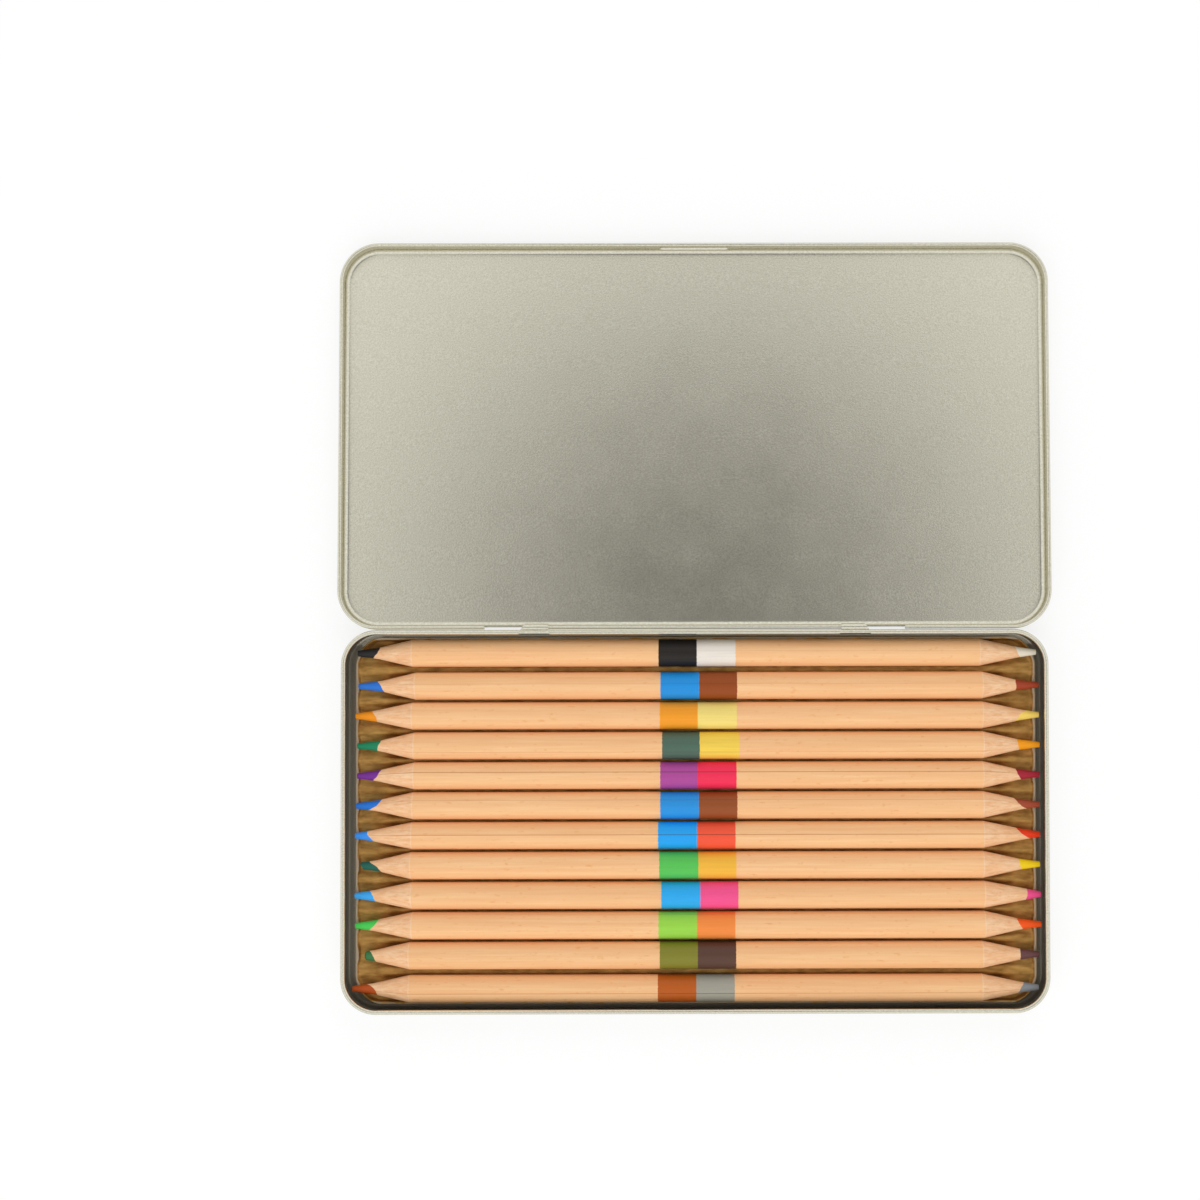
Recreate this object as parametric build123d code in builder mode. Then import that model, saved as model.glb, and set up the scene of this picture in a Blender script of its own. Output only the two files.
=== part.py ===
from build123d import *
import os
from dataclasses import dataclass
from math import asin, atan, atan2, cos, degrees, hypot, pi, radians, sin, sqrt

# A flat hinged box pressed from tinplate, lying open, with twelve double-ended colouring pencils
# in a corrugated tray. Millimetres, +Z up. The origin is the centre of the base's underside, +X
# runs along the pencils and +Y towards the hinge.

os.makedirs("parts", exist_ok=True)

# ---- Driving dimensions ------------------------------------------------------------------------

# Tinplate
sheet = 0.3  # thickness of the plate
base_corner = 9.0  # plan radius of the base's walls, outside
foot_radius = 1.2  # between the base's walls and its floor, outside
rim_curl = 0.6  # outside radius of the base's rim, which rolls inwards
rim_wrap = 235.0  # degrees of that roll
slip = 0.15  # between the base's walls and the lid's walls around them
bead_radius = 0.5  # outside radius of the lid's edge, which rolls outwards
bead_wrap = 262.0  # degrees of that roll
bead_drop = 1.2  # from the top of the base's rim down to the middle of that roll
head_room = 3.5  # from the base's rim up to the top of the shut lid
shoulder_radius = 1.5  # between the lid's walls and its panel, outside

# Hinge: two tongues of the base's rear wall roll round two pins in the lid's rolled edge
window_inner = 37.0  # from the middle of the tin to the near end of each window in the lid
window_width = 16.7
window_height = 3.0  # above the pin, with the lid shut
pin_length = 7.0
tongue_gap = 0.4  # beside the tongue
tongue_root = 7.1  # width where the tongue leaves the wall
tongue_tip = 5.9  # width of the rolled end
tongue_wrap = 235.0  # degrees that the tongue rolls round its pin

# Long dent in the lid's front wall, which comes down on the base's rim
dent_length = 18.2
dent_height = 1.6
dent_depth = 0.45
dent_slope = 35.0  # degrees that the dent's sides lean in

# Pencils
pencil_radius = 3.5
core_radius = 1.4
glue_line = 0.02  # between a core and its groove
sharpened = 14.8  # from the shoulder to a fresh point
point_radius = 0.68  # of a fresh point, which is flat
pencil_gap = 0.66  # between neighbours in the tray
outer_gap = 1.42  # between the first two and between the last two

# Corrugated tray, formed from thin film
film = 0.25
floor_gap = 0.1  # under the tray
nest_gap = 0.15  # between a pencil and its trough
ridge_radius = 1.2
lip_drop = 1.1  # from the pencils' axes down to the tray's lip
lip_width = 0.8
lip_corner = 8.0
end_lean = 12.0  # degrees that the tray's ends lean

# Small rounds that repeat are drawn as short flats
roll_flats = 5  # round each rolled edge
fold_flats = 3  # between the walls and the floor or the panel
trough_flats = 8  # across a trough
ridge_flats = 3  # up one side of a ridge, where the last flat is the ridge's top
pencil_flats = 20  # round a pencil

# Room inside the base
side_room = 1.33  # between the tray and the base's long walls
end_room = 1.7  # between the tray and the base's short walls
rim_room = 1.7  # from the top of the pencils up to the base's rim
tip_room = 0.25  # between the furthest point and the base's rim


@dataclass
class End:
    """One sharpened end of a pencil."""

    reach: float  # from the middle of the tin to the point
    nose: float  # length of bare lead
    worn: float = 0.0  # length lost from a fresh point
    aside: float = 0.0  # how far the lead lies off the cut's axis, towards the hinge


@dataclass
class Pencil:
    middle: float  # where its two leads meet, from the middle of the tin
    seam: float  # degrees from upright to the glued seam, towards the hinge
    left: End
    right: End


# From the hinge to the front
pencils = [
    Pencil(0.5, 8, End(86.20, 5.2, worn=0.6), End(87.75, 5.0)),
    Pencil(1.1, 9, End(86.40, 6.1), End(88.40, 6.0)),
    Pencil(0.7, 74, End(87.15, 5.2), End(88.40, 4.9, aside=-0.24)),
    Pencil(1.2, -27, End(86.70, 6.0), End(88.55, 5.7)),
    Pencil(0.6, 17, End(86.70, 5.4), End(88.45, 5.7)),
    Pencil(1.0, 26, End(87.00, 5.5, aside=0.30), End(88.45, 5.4, aside=0.28)),
    Pencil(0.5, 6, End(87.25, 4.5), End(88.55, 4.8, aside=0.32)),
    Pencil(0.8, 82, End(85.90, 4.5, worn=1.6), End(88.45, 5.3)),
    Pencil(1.3, -66, End(87.30, 4.9), End(88.70, 3.8)),
    Pencil(0.4, 58, End(87.15, 5.1, aside=0.24), End(88.75, 5.8)),
    Pencil(0.6, -80, End(84.65, 2.4, worn=3.2), End(88.15, 5.0)),
    Pencil(0.2, -15, End(87.85, 5.5, aside=-0.22), End(87.95, 4.8)),
]

# ---- Places worked out from them ---------------------------------------------------------------

trough_radius = pencil_radius + nest_gap
pencil_z = sheet + floor_gap + film + trough_radius
pitch = 2 * pencil_radius + pencil_gap
outer_pitch = 2 * pencil_radius + outer_gap

steps = [outer_pitch] + [pitch] * (len(pencils) - 3) + [outer_pitch]
row_y = [sum(steps) / 2 - sum(steps[:n]) for n in range(len(pencils))]

furthest = max(end.reach for pencil in pencils for end in (pencil.left, pencil.right))
base_length = 2 * (furthest + tip_room + 2 * rim_curl)
lip_z = pencil_z - lip_drop
mouth = sqrt(trough_radius**2 - lip_drop**2)  # half a trough's width at the lip
tray_length = base_length - 2 * (sheet + end_room)
tray_depth = 2 * (row_y[0] + mouth + lip_width)
base_depth = tray_depth + 2 * (side_room + sheet)
base_height = pencil_z + pencil_radius + rim_room
curl_z = base_height - rim_curl

lid_length = base_length + 2 * slip  # between the lid's walls
lid_depth = base_depth + 2 * slip
lid_corner = base_corner + slip
closed_height = base_height + head_room
pin_y = lid_depth / 2 + bead_radius
pin_z = base_height - bead_drop
pin_axis = Axis((0, pin_y, pin_z), (1, 0, 0))

# The open lid leans back past level until the far edge of its panel rests on the table.
shoulder_arm = pin_y + lid_depth / 2 + sheet - shoulder_radius
shoulder_rise = closed_height - pin_z - shoulder_radius
lean = degrees(
    asin((pin_z - shoulder_radius) / hypot(shoulder_arm, shoulder_rise))
    - atan2(shoulder_rise, shoulder_arm)
)
open_angle = 180 + lean


# ---- Shared shapes -----------------------------------------------------------------------------


def round_points(middle, radius, start, turn, flats):
    """Points round a middle, evenly spaced from one angle on through a turn, in degrees."""
    angles = [radians(start + turn * n / flats) for n in range(flats + 1)]
    return [(middle[0] + radius * cos(angle), middle[1] + radius * sin(angle)) for angle in angles]


def wall_line(length, depth, corner, height):
    """The closed line round a rounded rectangle, anticlockwise from above."""
    x, y = length / 2, depth / 2
    with BuildLine(Plane.XY.offset(height)) as line:
        FilletPolyline((x, -y), (x, y), (-x, y), (-x, -y), radius=corner, close=True)
    return line.wire()


def section_plane(path):
    """Square to the path at its start: local X points into the tin, local Y up."""
    along = path % 0
    return Plane(origin=path @ 0, x_dir=Vector(0, 0, 1).cross(along), z_dir=along)


def swept_plate(path, folds):
    """Sweep a strip of plate along the path, through folds given by their middle, their radius on
    the strip's two faces, the angle where they start, their turn and their number of flats."""
    first, second = (
        [
            point
            for middle, radii, start, turn, flats in folds
            for point in round_points(middle, radii[face], start, turn, flats)
        ]
        for face in (0, 1)
    )
    with BuildSketch(section_plane(path)) as section:
        with BuildLine():
            Polyline(*first, *reversed(second), close=True)
        make_face()
    return sweep(sections=section.sketch, path=path)


# ---- Base --------------------------------------------------------------------------------------

with BuildPart() as base_tin:
    with BuildSketch():
        RectangleRounded(
            base_length - 2 * foot_radius, base_depth - 2 * foot_radius, base_corner - foot_radius
        )
    extrude(amount=sheet)
    swept_plate(
        wall_line(base_length, base_depth, base_corner, 0),
        [
            ((foot_radius, foot_radius), (foot_radius, foot_radius - sheet), 270, -90, fold_flats),
            ((rim_curl, curl_z), (rim_curl, rim_curl - sheet), 180, -rim_wrap, roll_flats),
        ],
    )
    # The rim is cut away behind each tongue, which is the wall itself, rolled back round the pin.
    for side in (-1, 1):
        near = window_inner + tongue_gap
        far = near + tongue_root
        with BuildSketch(Plane.XY.offset(pin_z)):
            with Locations((side * (near + far) / 2, base_depth / 2)):
                Rectangle(tongue_root + 2 * tongue_gap, 4 * rim_curl)
        extrude(amount=base_height, mode=Mode.SUBTRACT)
        with BuildSketch(Plane.YZ.offset(side * near)):
            with BuildLine():
                wrapped = CenterArc((pin_y, pin_z), bead_radius + slip, 180, -tongue_wrap)
                outside = CenterArc((pin_y, pin_z), bead_radius + slip + sheet, 180, -tongue_wrap)
                Line(wrapped @ 0, outside @ 0)
                Line(wrapped @ 1, outside @ 1)
            make_face()
        extrude(amount=side * tongue_root)
        rear = pin_y + bead_radius + slip + sheet
        with BuildSketch(Plane.XY):
            with BuildLine():
                Polyline(
                    (side * far, base_depth / 2),
                    (side * far, rear),
                    (side * (near + tongue_tip), rear),
                    close=True,
                )
            make_face()
        extrude(amount=base_height, mode=Mode.SUBTRACT)

base_tin.part.label = "base_tin"
export_step(base_tin.part, "parts/base_tin.step")

# ---- Lid, drawn shut and then thrown open ------------------------------------------------------

with BuildPart() as shut_lid:
    inside_shoulder = shoulder_radius - sheet
    with BuildSketch(Plane.XY.offset(closed_height)):
        RectangleRounded(
            lid_length - 2 * inside_shoulder,
            lid_depth - 2 * inside_shoulder,
            lid_corner - inside_shoulder,
        )
    extrude(amount=-sheet)
    shoulder_middle = (inside_shoulder, closed_height - shoulder_radius)
    swept_plate(
        wall_line(lid_length, lid_depth, lid_corner, 0),
        [
            (shoulder_middle, (shoulder_radius, inside_shoulder), 90, 90, fold_flats),
            ((-bead_radius, pin_z), (bead_radius - sheet, bead_radius), 0, -bead_wrap, roll_flats),
        ],
    )
    for side in (-1, 1):
        # The window takes the wall and the rolled edge away, and a pin carries the edge on.
        with BuildSketch(Plane.XZ.offset(-lid_depth / 2 + sheet)):
            with Locations((side * (window_inner + window_width / 2), pin_z - 2 * bead_radius)):
                Rectangle(window_width, 2 * bead_radius + window_height, align=(Align.CENTER, Align.MIN))
        extrude(amount=-2 * (bead_radius + sheet), mode=Mode.SUBTRACT)
        with BuildSketch(Plane.YZ.offset(side * window_inner)):
            with Locations((pin_y, pin_z)):
                Circle(bead_radius)
        extrude(amount=side * pin_length)
    # The dent: raised inside, hollow outside.
    dent_z = base_height + slip + dent_height / 2
    with BuildSketch(Plane.XZ.offset(lid_depth / 2)):
        with Locations((0, dent_z)):
            SlotOverall(dent_length, dent_height)
    extrude(amount=-dent_depth, taper=dent_slope)
    with BuildSketch(Plane.XZ.offset(lid_depth / 2 + sheet)):
        with Locations((0, dent_z)):
            SlotOverall(dent_length, dent_height)
    extrude(amount=-dent_depth, taper=dent_slope, mode=Mode.SUBTRACT)

with BuildPart() as lid:
    add(shut_lid.part.rotate(pin_axis, -open_angle))

lid.part.label = "lid"
export_step(lid.part, "parts/lid.step")

# ---- Tray --------------------------------------------------------------------------------------


def trough_line(skin):
    """The line across the troughs and ridges, lowered by skin, from front to rear."""
    trough = trough_radius + skin
    ridge = ridge_radius - skin
    half = pitch / 2
    swing = asin(half / (trough + ridge))
    lean_in = degrees(swing)
    ridge_z = pencil_z - (trough + ridge) * cos(swing)
    flank = degrees(asin(lip_drop / trough))
    centres = sorted(row_y)
    points = []
    for y in centres:
        begin = 180 + flank if y == centres[0] else 270 - lean_in
        finish = 360 - flank if y == centres[-1] else 270 + lean_in
        if y != centres[0]:
            points += round_points((y - half, ridge_z), ridge, 90, -lean_in, ridge_flats)[1:-1]
        points += round_points((y, pencil_z), trough, begin, finish - begin, trough_flats)
        if y != centres[-1]:
            points += round_points((y + half, ridge_z), ridge, 90 + lean_in, -lean_in, ridge_flats)[1:-1]
    return points


def trough_body(skin):
    """The space over the troughs up to the lip, grown by skin on every side but the top."""
    with BuildPart() as body:
        with BuildSketch(Plane.YZ.offset(-tray_length / 2)):
            with BuildLine():
                Polyline(*trough_line(skin), close=True)
            make_face()
        extrude(amount=tray_length)
        grown = 2 * skin
        with BuildSketch(Plane.XY.offset(lip_z)):
            RectangleRounded(
                tray_length - 2 * lip_width + grown,
                tray_depth - 1.6 * lip_width + grown,
                lip_corner - lip_width + skin,
            )
        extrude(amount=-lip_z, taper=end_lean, mode=Mode.INTERSECT)
    return body.part


with BuildPart() as tray:
    with BuildSketch(Plane.XY.offset(lip_z - film)):
        RectangleRounded(tray_length, tray_depth, lip_corner)
    extrude(amount=film)
    add(trough_body(film))
    add(trough_body(0), mode=Mode.SUBTRACT)

tray.part.label = "tray"
export_step(tray.part, "parts/tray.step")

# ---- Pencils -----------------------------------------------------------------------------------


def point_size(end):
    """Radius of the point: a worn one is blunter."""
    return point_radius + (core_radius - point_radius) * end.worn / (end.nose + end.worn)


def rod(start, finish, y, radius, narrowed=None):
    """A straight rod along the pencils at their height, which may narrow to a smaller radius."""
    with BuildPart() as body:
        with BuildSketch(Plane.YZ.offset(start)):
            with Locations((y, pencil_z)):
                RegularPolygon(radius, pencil_flats)
        extrude(amount=finish - start)
        if narrowed is not None:
            sides = body.faces().filter_by(Axis.X, reverse=True)
            inward = (radius - narrowed) * cos(pi / pencil_flats)  # of each flat
            draft(sides, Plane.YZ.offset(start), degrees(atan(inward / (finish - start))))
    return body.part


def sharpened_form(pencil, y):
    """The whole pencil as one solid, with its barrel and both sharpened ends."""
    stretches = []
    for end, side in ((pencil.left, -1), (pencil.right, 1)):
        shoulder = side * (end.reach + end.worn - sharpened)
        bare = side * (end.reach - end.nose)
        stretches += [
            rod(0, shoulder, y, pencil_radius),
            rod(shoulder, bare, y, pencil_radius, core_radius),
            rod(bare, side * end.reach, y, core_radius, point_size(end)),
        ]
    with BuildPart() as form:
        add(stretches)
    return form.part


for number, (pencil, y) in enumerate(zip(pencils, row_y), start=1):
    name = f"pencil_{number:02d}"
    form = sharpened_form(pencil, y)
    left_tip, right_tip = -pencil.left.reach, pencil.right.reach
    leads = {
        "left": (left_tip, pencil.middle, y + pencil.left.aside),
        "right": (pencil.middle, right_tip, y + pencil.right.aside),
    }
    grooves = [rod(*lead, core_radius + glue_line) for lead in leads.values()]

    # The casing: two slats glued together round the leads
    tilt = radians(pencil.seam)
    for slat_name, side in (("rear", 1), ("front", -1)):
        facing = (0, side * cos(tilt), -side * sin(tilt))
        with BuildPart() as slat:
            add(form)
            add(grooves, mode=Mode.SUBTRACT)
            split(bisect_by=Plane(origin=(0, y, pencil_z), x_dir=(1, 0, 0), z_dir=facing))
        slat.part.label = f"{name}_slat_{slat_name}"
        export_step(slat.part, f"parts/{slat.part.label}.step")

    for lead_name, lead in leads.items():
        lead_rod = rod(*lead, core_radius)
        with BuildPart() as core:
            add(form)
            add(lead_rod, mode=Mode.INTERSECT)
        core.part.label = f"{name}_core_{lead_name}"
        export_step(core.part, f"parts/{core.part.label}.step")
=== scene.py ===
# %% [markdown]
# # An open tin of double-ended colouring pencils
# The tin is pressed from tinplate, its lid thrown back on two rolled hinges. Twelve round cedar
# pencils, sharpened at both ends, lie in a gold corrugated tray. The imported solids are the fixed
# frame: every smooth piece below is built in that frame, on the same sizes, and rides on its body.

# %% Load the frame
from math import asin, cos, pi, radians, sin, sqrt, tan

import bmesh
import bpy
import numpy as np
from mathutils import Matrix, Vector


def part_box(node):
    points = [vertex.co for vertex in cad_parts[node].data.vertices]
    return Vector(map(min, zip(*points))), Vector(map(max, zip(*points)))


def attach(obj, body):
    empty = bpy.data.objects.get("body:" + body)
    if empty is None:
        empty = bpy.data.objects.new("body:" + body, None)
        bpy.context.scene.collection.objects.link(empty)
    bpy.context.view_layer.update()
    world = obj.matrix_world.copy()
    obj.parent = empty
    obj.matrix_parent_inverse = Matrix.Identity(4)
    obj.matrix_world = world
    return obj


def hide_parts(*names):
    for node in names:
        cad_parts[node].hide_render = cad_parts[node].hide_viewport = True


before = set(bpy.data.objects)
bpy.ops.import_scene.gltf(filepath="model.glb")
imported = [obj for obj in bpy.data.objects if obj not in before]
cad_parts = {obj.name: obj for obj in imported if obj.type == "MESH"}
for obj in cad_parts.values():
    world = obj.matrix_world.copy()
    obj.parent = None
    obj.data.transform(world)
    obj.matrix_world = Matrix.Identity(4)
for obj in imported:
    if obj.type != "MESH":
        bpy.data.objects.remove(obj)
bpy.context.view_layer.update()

MM = 0.001

# %% [markdown]
# ## Small helpers
# A colour is written as the eye names it, in sRGB hex, and turned to linear once. A node is added
# with its settings and links in one line. A grid of points becomes a mesh, because almost every
# surface here is a section carried along a line.

# %% Colour, node and mesh helpers
WELD = 1e-7  # points closer than this, in metres, are one point
CRISP = 35  # an edge sharper than this, in degrees, stays an edge in the shading


def paint(code):
    """An sRGB hex colour as linear RGBA."""
    parts = [int(code[n:n + 2], 16) / 255 for n in (1, 3, 5)]
    return (*[c / 12.92 if c <= 0.04045 else ((c + 0.055) / 1.055) ** 2.4 for c in parts], 1.0)


def add(tree, kind, links=None, **settings):
    """Adds a node with its settings, and links or sets its inputs by name or by number.

    By number, Map Range takes its value at 0, its old range at 1 and 2 and its new one at 3 and 4,
    and Mix takes its amount at 0 and its colours at 6 and 7.
    """
    node = tree.nodes.new(kind)
    for name, value in settings.items():
        setattr(node, name, value)
    for key, value in (links or {}).items():
        if isinstance(value, bpy.types.NodeSocket):
            tree.links.new(value, node.inputs[key])
        else:
            node.inputs[key].default_value = value
    return node


def new_finish(name):
    """A material with one Principled shader: (material, tree, shader, object coordinates)."""
    material = bpy.data.materials.new(name)
    material.use_nodes = True
    tree = material.node_tree
    tree.nodes.clear()
    shader = add(tree, "ShaderNodeBsdfPrincipled")
    add(tree, "ShaderNodeOutputMaterial", {"Surface": shader.outputs["BSDF"]})
    return material, tree, shader, add(tree, "ShaderNodeTexCoord").outputs["Object"]


def mesh_from(name, parts, material, crisp=CRISP):
    """A smooth mesh from parts, each a closed shell of points in mm and faces."""
    mesh = bpy.data.meshes.new(name)
    whole = bmesh.new()
    for points, faces in parts:
        part = bpy.data.meshes.new("part")
        part.from_pydata((np.asarray(points, float) * MM).tolist(), [], faces)
        whole.from_mesh(tidy_mesh(part, material, crisp))
        bpy.data.meshes.remove(part)
    whole.to_mesh(mesh)
    whole.free()
    mesh.materials.append(material)
    mesh.set_sharp_from_angle(angle=radians(crisp))
    return mesh


def tidy_mesh(mesh, material, crisp=CRISP):
    """Merges doubles, turns faces outwards and shades smooth up to an angle."""
    shell = bmesh.new()
    shell.from_mesh(mesh)
    bmesh.ops.remove_doubles(shell, verts=shell.verts, dist=WELD)
    bmesh.ops.dissolve_degenerate(shell, edges=shell.edges, dist=WELD)
    bmesh.ops.recalc_face_normals(shell, faces=shell.faces)
    shell.to_mesh(mesh)
    shell.free()
    mesh.materials.clear()
    mesh.materials.append(material)
    mesh.shade_smooth()
    mesh.set_sharp_from_angle(angle=radians(crisp))
    return mesh


def grid_faces(rows, columns, closed=False):
    """Quads between the rows of a grid of points, whose rows may be closed rings."""
    last = columns if closed else columns - 1
    return [
        (r * columns + c, r * columns + (c + 1) % columns,
         (r + 1) * columns + (c + 1) % columns, (r + 1) * columns + c)
        for r in range(rows - 1) for c in range(last)
    ]


def mark_points(mesh, name, values):
    """Stores one number per point for the mesh's material to read."""
    layer = mesh.attributes.new(name, "FLOAT", "POINT")
    layer.data.foreach_set("value", np.asarray(values, np.float32))


def place(name, mesh, body, slot, *nodes):
    """Links a finished mesh as a piece that rides on its body and stands for CAD nodes."""
    piece = bpy.data.objects.new(name, mesh)
    bpy.context.scene.collection.objects.link(piece)
    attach(piece, body)
    if nodes:
        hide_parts(*nodes)
    lowest = min(v.co.z for v in mesh.vertices) / MM
    print(name, len(mesh.polygons), "faces, lowest", round(lowest, 3))


# %% [markdown]
# ## The camera
# The picture was taken from straight above, a little more than half a metre up, over the hinge.
# The tin stands a little right of the picture's middle, which the lens shift allows for.

# %% Camera
PICTURE_WIDTH, OFF_MIDDLE = 1200, 95  # pixels
CAMERA_SPOT = (-1.50, 41.86, 560)  # mm
CAMERA_TILT = (0.0263, -0.0028, -0.0021)  # radians
lens = bpy.data.cameras.new("camera")
lens.sensor_width = 36
lens.lens = 64.82
lens.shift_x = -OFF_MIDDLE / PICTURE_WIDTH
lens.clip_start = 0.01
camera = bpy.data.objects.new("camera", lens)
camera.location = [v * MM for v in CAMERA_SPOT]
camera.rotation_euler = CAMERA_TILT
bpy.context.scene.collection.objects.link(camera)
bpy.context.scene.camera = camera
bpy.context.scene.view_settings.view_transform = "Standard"

# %% [markdown]
# ## Floor, light and the shade over the lens
# A white table top under soft light. The table reads white to the camera and to shiny metal, and
# still takes the tin's shadow. Straight above a shiny lid the metal mirrors the dark camera, so a
# soft dark disc hangs there that only mirror-like rays meet.

# %% Rays that see a thing as it is


def seen_by(tree):
    """1 for rays from the camera, from a mirror and through glass, and 0 for soft light."""
    path = add(tree, "ShaderNodeLightPath")
    seen = add(tree, "ShaderNodeMath", {
        0: path.outputs["Is Camera Ray"], 1: path.outputs["Is Glossy Ray"]}, operation="MAXIMUM")
    seen = add(tree, "ShaderNodeMath", {
        0: seen.outputs[0], 1: path.outputs["Is Transmission Ray"]}, operation="MAXIMUM")
    return seen.outputs[0]


# %% Floor
TABLE_HALF, TABLE_GLOW = 3, 0.75  # metres, and emission strength where the table is seen
table_white, tree, shader, _ = new_finish("table_white_matt")
shader.inputs["Roughness"].default_value = 0.9
shader.inputs["Specular IOR Level"].default_value = 0.0
seen = seen_by(tree)
top = add(tree, "ShaderNodeMix", {0: seen, 6: paint("#f4f4f4"), 7: paint("#8c8c8c")},
          data_type="RGBA")
tree.links.new(top.outputs[2], shader.inputs["Base Color"])
lift = add(tree, "ShaderNodeMath", {0: seen, 1: TABLE_GLOW}, operation="MULTIPLY")
shader.inputs["Emission Color"].default_value = (1, 1, 1, 1)
tree.links.new(lift.outputs[0], shader.inputs["Emission Strength"])

table = bpy.data.meshes.new("table")
table.from_pydata([(x * TABLE_HALF, y * TABLE_HALF, 0)
                   for x, y in ((-1, -1), (1, -1), (1, 1), (-1, 1))], [], [(0, 1, 2, 3)])
table.materials.append(table_white)
floor = bpy.data.objects.new("floor", table)
bpy.context.scene.collection.objects.link(floor)

# %% Sky and lamps
ROOM_SOFT, ROOM_SEEN = 0.60, 1.0  # how bright the white room is as soft light, and as it is seen
LAMP_AIM = (0, 0.045, 0)  # the middle of the open tin, in metres
world = bpy.data.worlds.new("studio")
bpy.context.scene.world = world
world.use_nodes = True
tree = world.node_tree
tree.nodes.clear()
level = add(tree, "ShaderNodeMapRange", {0: seen_by(tree), 3: ROOM_SOFT, 4: ROOM_SEEN})
sky = add(tree, "ShaderNodeBackground", {"Color": (1, 1, 1, 1), "Strength": level.outputs[0]})
add(tree, "ShaderNodeOutputWorld", {"Surface": sky.outputs[0]})


def soft_lamp(name, spot, size, watts):
    """A square soft box that looks at the middle of the open tin."""
    data = bpy.data.lights.new(name, "AREA")
    data.size = size
    data.energy = watts
    lamp = bpy.data.objects.new(name, data)
    lamp.location = spot
    aim = Vector(LAMP_AIM) - Vector(spot)
    lamp.rotation_euler = aim.to_track_quat("-Z", "Y").to_euler()
    bpy.context.scene.collection.objects.link(lamp)
    lamp.visible_glossy = False  # metal mirrors the white room, without a second glare on top


soft_lamp("front_box", (-0.25, -1.05, 1.0), 2.3, 16.5)
soft_lamp("rear_box", (0.35, 1.25, 0.95), 1.3, 5.0)

# %% The soft shade over the lens
SHADE_X, SHADE_Y, SHADE_Z = 0.012, 0.112, 0.75  # metres
SHADE_RADIUS, SHADE_OVAL, SHADE_SIDES = 0.33, 1.12, 48
SHADE_FULL, SHADE_NONE, SHADE_DEPTH = 0.03, 0.29, 0.98  # metres, metres, and how dark inside
shade_cloth, tree, shader, spot = new_finish("shade_over_lens")
tree.nodes.remove(shader)
out = next(n for n in tree.nodes if n.type == "OUTPUT_MATERIAL")
centre = add(tree, "ShaderNodeMapping", {
    "Vector": spot, "Location": (-SHADE_X, -SHADE_Y / SHADE_OVAL, -SHADE_Z),
    "Scale": (1, 1 / SHADE_OVAL, 1)})
reach = add(tree, "ShaderNodeVectorMath", {0: centre.outputs[0]}, operation="LENGTH")
fade = add(tree, "ShaderNodeMapRange", {
    0: reach.outputs["Value"], 1: SHADE_FULL, 2: SHADE_NONE, 3: SHADE_DEPTH, 4: 0.0},
    interpolation_type="SMOOTHSTEP")
clear = add(tree, "ShaderNodeBsdfTransparent")
dark = add(tree, "ShaderNodeEmission", {"Color": paint("#242220"), "Strength": 1.0})
mix = add(tree, "ShaderNodeMixShader", {
    0: fade.outputs[0], 1: clear.outputs[0], 2: dark.outputs[0]})
tree.links.new(mix.outputs[0], out.inputs["Surface"])
turns = [2 * pi * n / SHADE_SIDES for n in range(SHADE_SIDES)]
disc = bpy.data.meshes.new("shade")
disc.from_pydata([(SHADE_X + SHADE_RADIUS * cos(a), SHADE_Y + SHADE_RADIUS * sin(a), SHADE_Z)
                  for a in turns], [], [tuple(range(SHADE_SIDES))])
disc.materials.append(shade_cloth)
shade = bpy.data.objects.new("shade", disc)
bpy.context.scene.collection.objects.link(shade)
shade.visible_camera = False
shade.visible_diffuse = False
shade.visible_shadow = False
shade.visible_transmission = False

# %% [markdown]
# ## Tinplate
# Steel strip with a rolled, flow-melted tin coat, bare and satin. The eye gets a soft warm-grey
# mirror with a fine pepper of grain and faint scuffs. The grain of real tinplate is near 0.1 mm,
# too fine for the picture, so it is drawn at about 0.4 mm. Metal keeps its default IOR. The lower
# inside of the base, round the tray, is painted darker and duller: painted shade for that corner.

# %% Tinplate
PLATE_GRAIN, PLATE_SCUFF = 0.38, 14  # mm
tinplate, tree, shader, spot = new_finish("tinplate_satin")
shader.inputs["Specular Tint"].default_value = paint("#e9e8e4")
grain = add(tree, "ShaderNodeTexNoise", {
    "Vector": spot, "Scale": 1 / (PLATE_GRAIN * MM), "Detail": 2.0, "Roughness": 0.6})
scuff = add(tree, "ShaderNodeTexNoise", {
    "Vector": spot, "Scale": 1 / (PLATE_SCUFF * MM), "Detail": 5.0, "Roughness": 0.6})
pepper = add(tree, "ShaderNodeMapRange", {0: grain.outputs["Fac"], 1: 0.3, 2: 0.7, 3: 0.0, 4: 1.0})
tint = add(tree, "ShaderNodeMix", {
    0: pepper.outputs[0], 6: paint("#cdc9b7"), 7: paint("#e3e0cf")}, data_type="RGBA")
# Painted shade: a darker, less metallic colour at the base's inside foot, standing in for the shade
# and dark reflection in that corner.
painted_shade = add(tree, "ShaderNodeAttribute", attribute_name="painted_shade")
plate = add(tree, "ShaderNodeMix", {
    0: painted_shade.outputs["Fac"], 6: tint.outputs[2], 7: paint("#6c6558")}, data_type="RGBA")
tree.links.new(plate.outputs[2], shader.inputs["Base Color"])
bare = add(tree, "ShaderNodeMapRange", {0: painted_shade.outputs["Fac"], 3: 1.0, 4: 0.1})
tree.links.new(bare.outputs[0], shader.inputs["Metallic"])
rough = add(tree, "ShaderNodeMapRange", {
    0: scuff.outputs["Fac"], 1: 0.3, 2: 0.7, 3: 0.235, 4: 0.265})
tree.links.new(rough.outputs[0], shader.inputs["Roughness"])
bump = add(tree, "ShaderNodeBump", {
    "Height": grain.outputs["Fac"], "Strength": 0.7, "Distance": 0.02 * MM})
tree.links.new(bump.outputs[0], shader.inputs["Normal"])

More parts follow.
